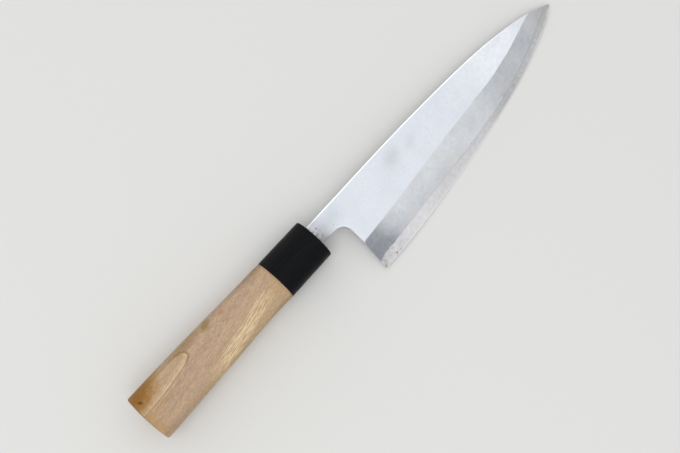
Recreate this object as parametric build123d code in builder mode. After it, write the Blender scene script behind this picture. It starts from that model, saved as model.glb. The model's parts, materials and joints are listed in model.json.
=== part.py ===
from build123d import *

import os
from math import sqrt

# A single-bevel kitchen knife for fish, with an oval wooden grip and a black collar, in millimetres.
# It is drawn level: X runs from the mouth of the collar to the tip, Y up to the spine, Z out of the
# bevelled face, and the grip's axis is X. Its last step lays it down as it lies on a table.

# Outline of the blade
blade_reach = 178.4         # mouth of the collar to the tip
heel_reach = 14.5           # mouth of the collar to the corner of the heel
choil_reach = 15.9          # mouth of the collar to the upright edge above the heel
spine_rise = 6.65           # grip's axis up to the spine
spine_straight = 50.0       # mouth of the collar to where the spine begins to fall
tip_depth = 8.2             # grip's axis down to the tip
heel_depth = 38.1           # grip's axis down to the heel
choil_depth = 20.0          # grip's axis down to where the upright edge starts to lean
choil_radius = 5.8
neck_height = 10.8          # at the mouth of the collar
neck_fall = 1.5             # lower side of the neck, from the collar to the choil
tip_blunt = 0.7             # worn width of the tip

# Places on the falling spine: share of the way to the tip, share of the fall
spine_shares = (
    (0.28, 0.044),
    (0.53, 0.144),
    (0.705, 0.286),
    (0.80, 0.42),
    (0.88, 0.572),
    (0.964, 0.82),
)

# Places on the cutting edge: share of the way from heel to tip, share of the depth between tip and
# heel, and the width of the ground bevel there as a share of its width at the heel
edge_shares = (
    (0.09, 0.993, 1.01),
    (0.22, 0.943, 1.02),
    (0.35, 0.875, 1.02),
    (0.48, 0.788, 0.97),
    (0.61, 0.680, 0.88),
    (0.71, 0.577, 0.80),
    (0.80, 0.451, 0.745),
    (0.88, 0.304, 0.72),
    (0.95, 0.148, 0.72),
)

# Thickness of the blade
neck_thickness = 5.8
tip_thickness = 3.0         # of the flat side, carried on to the tip
flat_fall = 0.4             # the flat side thins by this much from the spine to the bevel's ridge
bevel_width = 18.4          # of the ground bevel at the heel
edge_land = 0.2             # worn width of the cutting edge
flat_chamfer = 0.45         # round the flat side, along spine, neck and choil
back_chamfer = 0.25         # round the back, along the same edges

# Hard steel under the softer iron
steel_thickness = 1.8       # at the heel
steel_top_gap = 6.2         # spine down to the upper border of the steel, at the middle
steel_rear_depth = 13.5     # grip's axis down to that border at the rear

# Upper face of the steel: share of the way from heel to tip, share of its thickness
steel_shares = (
    (0.0, 1.0),
    (0.16, 0.97),
    (0.32, 0.84),
    (0.50, 0.60),
    (0.66, 0.54),
    (0.82, 0.56),
    (1.0, 0.5),
)

# Upper border of the steel: share of the way from heel to tip, share of its gap below the spine
steel_top_shares = ((0.16, 1.35), (0.40, 1.0), (0.62, 0.9), (0.86, 0.0))

# Hollow ground into the back, inside a flat rim
wheel_radius = 320.0        # of the stone that grinds it
edge_rim = 2.6              # flat left along the cutting edge
spine_rim = 3.6             # flat left along the spine
hollow_rear_gap = 4.0       # heel to the hollow

# Places in the hollow: share of the way from its rear end to the tip, share of the room between rims
hollow_shares = (
    (0.0, 0.42),
    (0.05, 0.86),
    (0.14, 1.0),
    (0.34, 1.0),
    (0.56, 1.0),
    (0.74, 0.98),
    (0.88, 0.80),
    (0.94, 0.34),
)

# Tang inside the grip
tang_length = 92.0          # mouth of the collar to its end
tang_height = 9.6
tang_thickness = 4.6
tang_end_height = 4.4
tang_end_thickness = 2.4
tang_end_chamfer = 1.4
tang_end_rise = 0.4         # grip's axis up to the middle of its end
mortise_clearance = 0.12
mortise_spare = 2.0         # empty end of the mortise behind the tang

# Grip, oval in section
grip_length = 124.8         # butt to the mouth of the collar
butt_height = 28.4
butt_thickness = 22.8
joint_height = 24.3         # where wood meets collar
joint_thickness = 20.0
waist_height = 24.1         # the narrowest place
waist_thickness = 19.8
waist_gap = 8.5             # waist to the collar
butt_dome_radius = 125.0
butt_rounding = 1.1
grip_bow = 0.3              # the middle of the wood stands out towards the spine
joint_chamfer = 0.2

# Places along the wood: share of the way from waist to butt, share of the swelling, share of the bow
swell_shares = ((0.0, 0.0, 0.8), (0.32, 0.36, 1.0), (0.69, 0.79, 0.7), (0.88, 0.955, 0.2), (1.0, 1.0, 0.0))

# Collar
collar_length = 29.4
collar_mouth_height = 23.8
collar_mouth_thickness = 19.6
collar_wall = 2.4
mouth_wall = 3.4            # closed end, slotted for the neck
mouth_rounding = 0.6
tenon_clearance = 0.08
tenon_gap = 0.3             # end of the tenon to the closed end

# Seal that fills the slot round the neck
seal_width = 0.5
seal_corner = 0.6

# Overrun of every cut
overrun = 2.0

# Place where the edge touches the table, as a share of the edge from the heel
rest_share = 0.62

# How closely a place on a curve is found, as a share of the curve
found_share = 1e-9

# Values that follow
back_level = -neck_thickness / 2
joint_x = -collar_length
waist_x = joint_x - waist_gap
butt_x = -grip_length
edge_length = blade_reach - heel_reach
edge_rise = heel_depth - tip_depth
neck_bottom = spine_rise - neck_height
neck_middle = spine_rise - neck_height / 2
taper_slope = (neck_thickness - tip_thickness) / blade_reach
fall_slope = flat_fall / (spine_rise + heel_depth - bevel_width)
hollow_reach = heel_reach + hollow_rear_gap
bore_height = collar_mouth_height - 2 * collar_wall
bore_thickness = collar_mouth_thickness - 2 * collar_wall
slot_height = neck_height + 2 * seal_width
slot_thickness = neck_thickness + 2 * seal_width


def flat_level(x, y):
    """Height of the flat side's plane over a place on the blade."""
    return back_level + neck_thickness - taper_slope * x - fall_slope * (spine_rise - y)


def edge_place(along_share, down_share):
    """A place on the cutting edge."""
    return (heel_reach + edge_length * along_share, -tip_depth - edge_rise * down_share)


def height_at(curve, x):
    """Height of a curve of the outline above the grip's axis where it passes x."""
    low_share, high_share = 0.0, 1.0
    while high_share - low_share > found_share:
        middle_share = (low_share + high_share) / 2
        if (curve @ middle_share).X < x:
            low_share = middle_share
        else:
            high_share = middle_share
    return (curve @ low_share).Y


def cross_plane(x, y=0.0):
    """A plane across the knife, its own x up to the spine and its own y out of the bevelled face."""
    return Plane(origin=(x, y, 0), x_dir=(0, 1, 0), z_dir=(1, 0, 0))


heel = edge_place(0, 1)
tip = edge_place(1, 0)
spine_end = (blade_reach, -tip_depth + tip_blunt)
neck_corner = (choil_reach, neck_bottom - neck_fall)
edge_points = [edge_place(along_share, down_share) for along_share, down_share, width_share in edge_shares]
spine_points = [
    (
        spine_straight + (blade_reach - spine_straight) * along_share,
        spine_rise - (spine_rise + tip_depth) * down_share,
    )
    for along_share, down_share in spine_shares
]

# Blade in one piece, before it is parted into iron and steel
with BuildPart() as blade:
    with BuildSketch(Plane.XY.offset(back_level)) as outline:
        with BuildLine():
            Line((-mouth_wall, spine_rise), (spine_straight, spine_rise))
            end_run = Vector(*spine_end) - Vector(*spine_points[-1])
            spine_curve = Spline(
                (spine_straight, spine_rise), *spine_points, spine_end, tangents=((1, 0), end_run)
            )
            Line(spine_end, tip)
            edge_curve = Spline(heel, *edge_points, tip)
            Polyline(
                heel,
                (choil_reach, -choil_depth),
                neck_corner,
                (-mouth_wall, neck_bottom),
                (-mouth_wall, spine_rise),
            )
        make_face()
        fillet(outline.vertices().sort_by_distance(neck_corner)[0], choil_radius)
    extrude(amount=neck_thickness + overrun)
    flat_plane = Plane(
        origin=(0, spine_rise, flat_level(0, spine_rise)),
        x_dir=(1, 0, -taper_slope),
        z_dir=(taper_slope, -fall_slope, 1),
    )
    split(bisect_by=flat_plane, keep=Keep.BOTTOM)

    # Spine, neck and choil are broken on both sides, heel and cutting edge stay sharp
    for end, width in ((0, back_chamfer), (-1, flat_chamfer)):
        rim = blade.faces().sort_by(Axis.Z)[end].edges()
        neck_edge = rim.filter_by(Axis.Y, reverse=True).sort_by_distance((0, neck_bottom, back_level))[0]
        chamfer([rim.sort_by(Axis.Y)[-1], neck_edge], width)

    # Ground bevel, from the cutting edge up to its ridge on the flat side
    last_share = edge_shares[-1][-1]
    bevel_places = [(heel_reach - overrun, -heel_depth, 1.0), (*heel, 1.0)]
    bevel_places += [(*place, shares[-1]) for place, shares in zip(edge_points, edge_shares)]
    bevel_places += [(*tip, last_share), (blade_reach + overrun, overrun - tip_depth, last_share)]
    for x, edge_y, width_share in bevel_places:
        width = bevel_width * width_share
        foot_level = back_level + edge_land
        slope = (flat_level(x, edge_y + width) - foot_level) / width
        far_y = spine_rise + overrun
        with BuildSketch(cross_plane(x)):
            with BuildLine():
                Polyline(
                    (edge_y - overrun, foot_level - slope * overrun),
                    (far_y, foot_level + slope * (far_y - edge_y)),
                    (far_y, back_level + heel_depth),
                    (edge_y - overrun, back_level + heel_depth),
                    close=True,
                )
            make_face()
    loft(mode=Mode.SUBTRACT)

    # Shallow hollow in the back, as a round stone grinds it, inside a flat rim
    for along_share, room_share in hollow_shares:
        x = hollow_reach + (blade_reach - hollow_reach) * along_share
        low_y = height_at(edge_curve, x) + edge_rim
        high_y = min(spine_rise, height_at(spine_curve, x)) - spine_rim
        half_width = (high_y - low_y) / 2 * room_share
        middle_y = (high_y + low_y) / 2
        depth = half_width**2 / (2 * wheel_radius)
        with BuildSketch(cross_plane(x)):
            with BuildLine():
                ThreePointArc(
                    (middle_y - half_width, back_level),
                    (middle_y, back_level + depth),
                    (middle_y + half_width, back_level),
                )
                Polyline(
                    (middle_y + half_width, back_level),
                    (middle_y + half_width, back_level - overrun),
                    (middle_y - half_width, back_level - overrun),
                    (middle_y - half_width, back_level),
                )
            make_face()
    loft(mode=Mode.SUBTRACT)

# Room of the hard steel: under a slightly wavy face, and below a border that climbs to the spine
with BuildPart() as steel_room:
    with BuildSketch(Plane.XZ):
        with BuildLine():
            wave = Spline(
                [
                    (heel_reach + edge_length * along_share, back_level + steel_thickness * level_share)
                    for along_share, level_share in steel_shares
                ]
            )
            Polyline(
                wave @ 1,
                (blade_reach + overrun, (wave @ 1).Y),
                (blade_reach + overrun, back_level - overrun),
                (heel_reach - overrun, back_level - overrun),
                (heel_reach - overrun, back_level + steel_thickness),
                wave @ 0,
            )
        make_face()
    extrude(amount=heel_depth + overrun, both=True)
    with BuildSketch(Plane.XY.offset(back_level - overrun)):
        with BuildLine():
            border_points = []
            for along_share, gap_share in steel_top_shares:
                x = heel_reach + edge_length * along_share
                border_points.append((x, height_at(spine_curve, x) - steel_top_gap * gap_share))
            border = Spline((heel_reach - overrun, -steel_rear_depth), *border_points)
            Polyline(
                border @ 1,
                ((border @ 1).X, spine_rise + overrun),
                (blade_reach + overrun, spine_rise + overrun),
                (blade_reach + overrun, -heel_depth - overrun),
                (heel_reach - overrun, -heel_depth - overrun),
                border @ 0,
            )
        make_face()
    extrude(amount=steel_thickness + 2 * overrun, mode=Mode.INTERSECT)

# Hard steel: the whole back of the blade and the cutting edge
with BuildPart() as edge_steel:
    add(blade.part)
    add(steel_room.part, mode=Mode.INTERSECT)

# Iron: flat side, upper bevel, spine, neck and the tang that runs into the grip
with BuildPart() as blade_iron:
    add(blade.part)
    add(steel_room.part, mode=Mode.SUBTRACT)
    with BuildSketch(cross_plane(-mouth_wall, neck_middle)):
        Rectangle(tang_height, tang_thickness)
    with BuildSketch(cross_plane(-tang_length, tang_end_rise)):
        Rectangle(tang_end_height, tang_end_thickness)
    loft()
    chamfer(blade_iron.faces().sort_by(Axis.X)[0].edges().filter_by(Axis.Z), tang_end_chamfer)

# Wood: swelling oval grip with a domed butt, a tenon for the collar and a mortise for the tang
with BuildPart() as handle_wood:
    with BuildSketch(cross_plane(joint_x)):
        Ellipse(joint_height / 2, joint_thickness / 2)
    for along_share, swell_share, bow_share in swell_shares:
        height = waist_height + (butt_height - waist_height) * swell_share
        thickness = waist_thickness + (butt_thickness - waist_thickness) * swell_share
        with BuildSketch(cross_plane(waist_x + (butt_x - waist_x) * along_share, grip_bow * bow_share)):
            Ellipse(height / 2, thickness / 2)
    loft()
    with Locations((butt_x + butt_dome_radius, 0, 0)):
        Sphere(butt_dome_radius, mode=Mode.INTERSECT)
    fillet(handle_wood.edges().sort_by(Axis.X)[0], butt_rounding)
    chamfer(handle_wood.edges().sort_by(Axis.X)[-1], joint_chamfer)
    with BuildSketch(cross_plane(joint_x)):
        Ellipse(bore_height / 2 - tenon_clearance, bore_thickness / 2 - tenon_clearance)
    extrude(amount=collar_length - mouth_wall - tenon_gap)
    with BuildSketch(cross_plane(-mouth_wall, neck_middle)):
        Rectangle(tang_height + 2 * mortise_clearance, tang_thickness + 2 * mortise_clearance)
    with BuildSketch(cross_plane(-tang_length - mortise_spare, tang_end_rise)):
        Rectangle(tang_end_height + 2 * mortise_clearance, tang_end_thickness + 2 * mortise_clearance)
    loft(mode=Mode.SUBTRACT)

# Collar: black cup over the tenon, its closed end slotted for the neck
with BuildPart() as collar:
    with BuildSketch(cross_plane(joint_x)):
        Ellipse(joint_height / 2, joint_thickness / 2)
    with BuildSketch(cross_plane(0)):
        Ellipse(collar_mouth_height / 2, collar_mouth_thickness / 2)
    loft()
    fillet(collar.edges().sort_by(Axis.X)[-1], mouth_rounding)
    chamfer(collar.edges().sort_by(Axis.X)[0], joint_chamfer)
    with BuildSketch(cross_plane(joint_x)):
        Ellipse(bore_height / 2, bore_thickness / 2)
    extrude(amount=collar_length - mouth_wall, mode=Mode.SUBTRACT)
    with BuildSketch(cross_plane(-mouth_wall, neck_middle)):
        RectangleRounded(slot_height, slot_thickness, seal_corner)
    extrude(amount=mouth_wall, mode=Mode.SUBTRACT)

# Seal: a thin ring of resin in the slot, closed round the neck
with BuildPart() as neck_seal:
    with BuildSketch(cross_plane(-mouth_wall, neck_middle)):
        RectangleRounded(slot_height, slot_thickness, seal_corner)
    extrude(amount=mouth_wall)
    add(blade.part, mode=Mode.SUBTRACT)

# The knife lies on the rim of its collar and on one place of its edge. The table holds the edge's
# tangent there and touches the oval of the rim, which gives the roll about that tangent.
contact = (edge_curve @ rest_share) + Vector(0, 0, back_level)
run = (edge_curve % rest_share).normalized()
rim_offset = Vector(-mouth_rounding, 0, 0) - contact
rim_lift = run.X * rim_offset.Y - run.Y * rim_offset.X
rim_rise = rim_offset.Z
half_height = collar_mouth_height / 2
half_thickness = collar_mouth_thickness / 2
square = rim_lift**2 - (half_height * run.X) ** 2
root = sqrt((rim_lift * rim_rise) ** 2 - square * (rim_rise**2 - half_thickness**2))
roll = (root - rim_lift * rim_rise) / square
table_up = Vector(-run.Y * roll, run.X * roll, 1).normalized()
table_along = (Vector(1, 0, 0) - table_up * table_up.X).normalized()
level_turn = Plane(origin=(0, 0, 0), x_dir=table_along, z_dir=table_up).location.inverse()

pieces = (blade_iron, edge_steel, handle_wood, collar, neck_seal)
boxes = [piece.part.moved(level_turn).bounding_box() for piece in pieces]
middle_x = (min(box.min.X for box in boxes) + max(box.max.X for box in boxes)) / 2
middle_y = (min(box.min.Y for box in boxes) + max(box.max.Y for box in boxes)) / 2
lowest_z = min(box.min.Z for box in boxes)
lay_down = Pos(-middle_x, -middle_y, -lowest_z) * level_turn
for piece in pieces:
    piece.part.move(lay_down)

os.makedirs("parts", exist_ok=True)

blade_iron.part.label = "blade_iron"
export_step(blade_iron.part, "parts/blade_iron.step")

edge_steel.part.label = "edge_steel"
export_step(edge_steel.part, "parts/edge_steel.step")

handle_wood.part.label = "handle_wood"
export_step(handle_wood.part, "parts/handle_wood.step")

collar.part.label = "collar"
export_step(collar.part, "parts/collar.step")

neck_seal.part.label = "neck_seal"
export_step(neck_seal.part, "parts/neck_seal.step")

print("table's up in the knife's own frame", table_up)
print("knife's own origin on the table", lay_down.position)
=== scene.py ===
import json
import math

import bpy
import numpy as np
from mathutils import Matrix, Vector


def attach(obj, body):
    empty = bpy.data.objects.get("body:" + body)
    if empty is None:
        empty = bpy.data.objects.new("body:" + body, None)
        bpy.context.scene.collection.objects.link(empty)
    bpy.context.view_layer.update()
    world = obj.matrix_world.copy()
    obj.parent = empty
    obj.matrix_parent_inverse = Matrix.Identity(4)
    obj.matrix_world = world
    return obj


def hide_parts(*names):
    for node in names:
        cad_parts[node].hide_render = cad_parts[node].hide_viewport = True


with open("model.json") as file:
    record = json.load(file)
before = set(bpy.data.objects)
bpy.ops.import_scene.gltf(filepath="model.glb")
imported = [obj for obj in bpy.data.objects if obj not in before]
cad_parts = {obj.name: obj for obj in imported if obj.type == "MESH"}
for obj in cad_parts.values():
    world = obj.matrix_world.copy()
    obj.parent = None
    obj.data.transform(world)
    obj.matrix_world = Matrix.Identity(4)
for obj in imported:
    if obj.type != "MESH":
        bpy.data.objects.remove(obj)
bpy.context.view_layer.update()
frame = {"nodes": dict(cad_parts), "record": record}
cadNodes = frame["nodes"]
mounts = {mount["name"]: mount for mount in frame["record"]["mounts"]}
print("frame loaded:", ", ".join(sorted(cadNodes)))

# The knife's own frame, in millimetres: x to the tip, y to the spine, z out of the bevelled face.
# The grip's axis is x, and the mouth of the collar is at 0. Every look is placed in it.
mm = 0.001
knifeX = -Vector(mounts["grip"]["axis"]).normalized()
knifeZ = -Vector(mounts["back_face"]["axis"]).normalized()
knifeY = knifeZ.cross(knifeX)
knifeTurn = np.array([knifeX, knifeY, knifeZ])


def cadCorners(name):
    mesh = cadNodes[name].data
    corners = np.empty(len(mesh.vertices) * 3)
    mesh.vertices.foreach_get("co", corners)
    return corners.reshape(-1, 3)


gripPoint = np.array(mounts["grip"]["pos_m"])
mouthAlong = ((cadCorners("collar") - gripPoint) @ knifeTurn[0]).max()
knifeOrigin = gripPoint + mouthAlong * knifeTurn[0]
knifeToRow = Matrix.Translation(knifeOrigin) @ Matrix(knifeTurn.T).to_4x4() @ Matrix.Scale(mm, 4)


def knifeCorners(name):
    return (cadCorners(name) - knifeOrigin) @ knifeTurn.T / mm


# Where a CAD node's mesh crosses the plane at x: the y and z of each crossing
def sectionOf(name, x):
    corners = knifeCorners(name)
    mesh = cadNodes[name].data
    pairs = np.empty(len(mesh.edges) * 2, int)
    mesh.edges.foreach_get("vertices", pairs)
    low, high = corners[pairs.reshape(-1, 2).T]
    crosses = (low[:, 0] - x) * (high[:, 0] - x) < 0
    low, high = low[crosses], high[crosses]
    share = (x - low[:, :1]) / (high[:, :1] - low[:, :1])
    return (low + (high - low) * share)[:, 1:]


# A colour as a screen shows it, made linear
def shown(red, green, blue):
    parts = [part / 255 for part in (red, green, blue)]
    return tuple(p / 12.92 if p < 0.04045 else ((p + 0.055) / 1.055) ** 2.4 for p in parts) + (1.0,)


# Small helpers for node trees
def addNode(tree, kind, inputs=None, **settings):
    new = tree.nodes.new(kind)
    for key, value in settings.items():
        setattr(new, key, value)
    for key, value in (inputs or {}).items():
        if isinstance(value, bpy.types.NodeSocket):
            tree.links.new(value, new.inputs[key])
        else:
            new.inputs[key].default_value = value
    return new


def calc(tree, operation, a, b=0.0, c=0.0):
    return addNode(tree, "ShaderNodeMath", {0: a, 1: b, 2: c}, operation=operation).outputs[0]


# A value times a factor, plus a base
def scaled(tree, value, factor, base):
    return calc(tree, "MULTIPLY_ADD", value, factor, base)


# Several values multiplied
def product(tree, value, *others):
    for other in others:
        value = calc(tree, "MULTIPLY", value, other)
    return value


# A value that a noise pushes up and down by half the amount
def swayed(tree, value, noise, amount):
    return scaled(tree, calc(tree, "SUBTRACT", noise, 0.5), amount, value)


def vectorCalc(tree, operation, a, b=(0.0, 0.0, 0.0)):
    new = addNode(tree, "ShaderNodeVectorMath", {0: a, 1: b}, operation=operation)
    return new.outputs["Value" if operation in ("DOT_PRODUCT", "LENGTH") else "Vector"]


def spread(tree, value, low, high, toLow=0.0, toHigh=1.0):
    inputs = {"Value": value, "From Min": low, "From Max": high, "To Min": toLow, "To Max": toHigh}
    return addNode(tree, "ShaderNodeMapRange", inputs, interpolation_type="SMOOTHSTEP").outputs[0]


# A function that spreads a value over a range of the look, chosen by its name
def rangesOf(tree, look):
    return lambda value, name: spread(tree, value, *look[name])


# 1 between full and fade, falling to 0 at start and end
def between(tree, value, start, full, fade, end):
    return product(tree, spread(tree, value, start, full), spread(tree, value, end, fade))


def blend(tree, factor, a, b):
    return addNode(tree, "ShaderNodeMix", {0: factor, 6: a, 7: b}, data_type="RGBA").outputs[2]


# Colours of a look laid over one another, each by its mask
def layered(tree, colour, look, *layers):
    for mask, tone in layers:
        colour = blend(tree, mask, colour, look[tone])
    return colour


def turned(tree, vector, angle):
    inputs = {"Vector": vector, "Angle": angle}
    return addNode(tree, "ShaderNodeVectorRotate", inputs, rotation_type="Z_AXIS").outputs[0]


def noiseOf(tree, vector, scale=1.0, detail=2.0, roughness=0.5):
    inputs = {"Vector": vector, "Scale": scale, "Detail": detail, "Roughness": roughness}
    return addNode(tree, "ShaderNodeTexNoise", inputs).outputs[0]


def partsOf(tree, vector):
    return addNode(tree, "ShaderNodeSeparateXYZ", {0: vector}).outputs


def joined(tree, x=0.0, y=0.0, z=0.0):
    return addNode(tree, "ShaderNodeCombineXYZ", {0: x, 1: y, 2: z}).outputs[0]


# 1 where the surface faces the direction, -1 where it faces away
def facingOf(tree, direction):
    normal = tree.nodes.new("ShaderNodeNewGeometry").outputs["Normal"]
    return vectorCalc(tree, "DOT_PRODUCT", normal, direction)


def setCurve(new, places):
    curve = new.mapping.curves[0]
    while len(curve.points) < len(places):
        curve.points.new(0.5, 0.5)
    for point, place in zip(curve.points, places):
        point.location = place
    new.mapping.update()


def newGroup(name, inputs, outputs, kind="ShaderNodeTree"):
    tree = bpy.data.node_groups.new(name, kind)
    for direction, sockets in (("INPUT", inputs), ("OUTPUT", outputs)):
        for socketName, socketKind, *value in sockets:
            socketKind = "NodeSocket" + socketKind
            made = tree.interface.new_socket(socketName, in_out=direction, socket_type=socketKind)
            if value:
                made.default_value = value[0]
    return tree, tree.nodes.new("NodeGroupInput").outputs, tree.nodes.new("NodeGroupOutput").inputs


def useGroup(tree, group, inputs):
    return addNode(tree, "ShaderNodeGroup", inputs, node_tree=group).outputs


# A new material, its shader, and the place on the knife in its own millimetres
def newMaterial(name, **constants):
    material = bpy.data.materials.new(name)
    material.use_nodes = True
    tree = material.node_tree
    shader = tree.nodes["Principled BSDF"]
    for key, value in constants.items():
        shader.inputs[key.replace("_", " ")].default_value = value
    rowToKnife = knifeToRow.inverted()
    mapping = addNode(tree, "ShaderNodeMapping", {
        "Vector": tree.nodes.new("ShaderNodeTexCoord").outputs["Object"],
        "Location": rowToKnife.to_translation(),
        "Rotation": rowToKnife.to_euler(),
        "Scale": (1 / mm, 1 / mm, 1 / mm),
    })
    return material, tree, shader, mapping.outputs[0]


def bumpFrom(tree, shader, height, depth):
    bump = addNode(tree, "ShaderNodeBump", {"Height": height, "Distance": depth * mm, "Strength": 1.0})
    tree.links.new(bump.outputs[0], shader.inputs["Normal"])


# Shader groups that several finishes share, with what is alike in all of them
sharedLook = {
    "spotNoise": (0.45, 3.0),
    "hairNoise": (1.0, 3.0, 0.6),
    "scratchNoise": (0.7, 0.0),
    "scratchTurn": 0.11,
    "fewestScratches": 0.86,        # as a level of their noise, which the amount lowers
    "scratchGain": 0.25,
    "scratchFade": 0.05,
    "rimFacing": (0.998, 0.93),
    "rimNoise": (0.6, 4.0),
    "rimPatches": (0.35, 0.62),
    "rimSamples": 6,
}


def makeSoftSpot():
    inputs = [("Place", "Vector"), ("Centre", "Vector"), ("Reach", "Vector", (1.0, 1.0, 1.0)),
              ("Turn", "Float"), ("Ragged", "Float", 0.3), ("Softness", "Float", 0.5)]
    tree, given, result = newGroup("softSpot", inputs, [("Mask", "Float")])
    away = vectorCalc(tree, "SUBTRACT", given["Place"], given["Centre"])
    away = turned(tree, away, calc(tree, "MULTIPLY", given["Turn"], -1.0))
    distance = vectorCalc(tree, "LENGTH", vectorCalc(tree, "DIVIDE", away, given["Reach"]))
    noise = noiseOf(tree, given["Place"], *sharedLook["spotNoise"])
    distance = swayed(tree, distance, noise, given["Ragged"])
    inner = calc(tree, "SUBTRACT", 1.0, given["Softness"])
    tree.links.new(spread(tree, distance, inner, 1.0, 1.0, 0.0), result["Mask"])
    return tree


def makeHairLines():
    inputs = [("Place", "Vector"), ("Turn", "Float"), ("Length", "Float", 20.0), ("Width", "Float", 0.2),
              ("Amount", "Float", 0.5)]
    tree, given, result = newGroup("hairLines", inputs, [("Lines", "Float"), ("Scratches", "Float")])
    level = turned(tree, given["Place"], calc(tree, "MULTIPLY", given["Turn"], -1.0))
    size = joined(tree, given["Length"], given["Width"], given["Width"])
    lines = noiseOf(tree, vectorCalc(tree, "DIVIDE", level, size), *sharedLook["hairNoise"])
    tree.links.new(lines, result["Lines"])
    wander = turned(tree, level, sharedLook["scratchTurn"])
    sparse = noiseOf(tree, vectorCalc(tree, "DIVIDE", wander, size), *sharedLook["scratchNoise"])
    edge = scaled(tree, given["Amount"], -sharedLook["scratchGain"], sharedLook["fewestScratches"])
    scratches = spread(tree, sparse, edge, calc(tree, "ADD", edge, sharedLook["scratchFade"]))
    tree.links.new(scratches, result["Scratches"])
    return tree


# Mask of rims: real wear on the grip and the collar, and a painted highlight on the blade's rims near the
# heel
def makeEdgeWearAndHighlight():
    inputs = [("Place", "Vector"), ("Width", "Float", 0.5), ("Patchy", "Float", 0.5)]
    tree, given, result = newGroup("edgeWearAndHighlight", inputs, [("Mask", "Float")])
    radius = calc(tree, "MULTIPLY", given["Width"], mm)
    bevel = addNode(tree, "ShaderNodeBevel", {"Radius": radius}, samples=sharedLook["rimSamples"])
    bare = spread(tree, facingOf(tree, bevel.outputs[0]), *sharedLook["rimFacing"])
    patches = noiseOf(tree, given["Place"], *sharedLook["rimNoise"])
    patches = spread(tree, patches, *sharedLook["rimPatches"])
    kept = scaled(tree, calc(tree, "SUBTRACT", patches, 1.0), given["Patchy"], 1.0)
    tree.links.new(product(tree, bare, kept), result["Mask"])
    return tree


softSpot = makeSoftSpot()
hairLines = makeHairLines()
edgeWearAndHighlight = makeEdgeWearAndHighlight()


def spotMask(tree, place, centre, reach, turn, ragged, softness):
    inputs = {"Place": place, "Centre": centre, "Reach": reach, "Turn": turn, "Ragged": ragged,
              "Softness": softness}
    return useGroup(tree, softSpot, inputs)["Mask"]


def hairOf(tree, place, turn, length, width, amount):
    inputs = {"Place": place, "Turn": turn, "Length": length, "Width": width, "Amount": amount}
    return useGroup(tree, hairLines, inputs)


def wearAndHighlightEdge(tree, place, width, patchy):
    return useGroup(tree, edgeWearAndHighlight, {"Place": place, "Width": width, "Patchy": patchy})["Mask"]


print("shader groups made")

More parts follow.
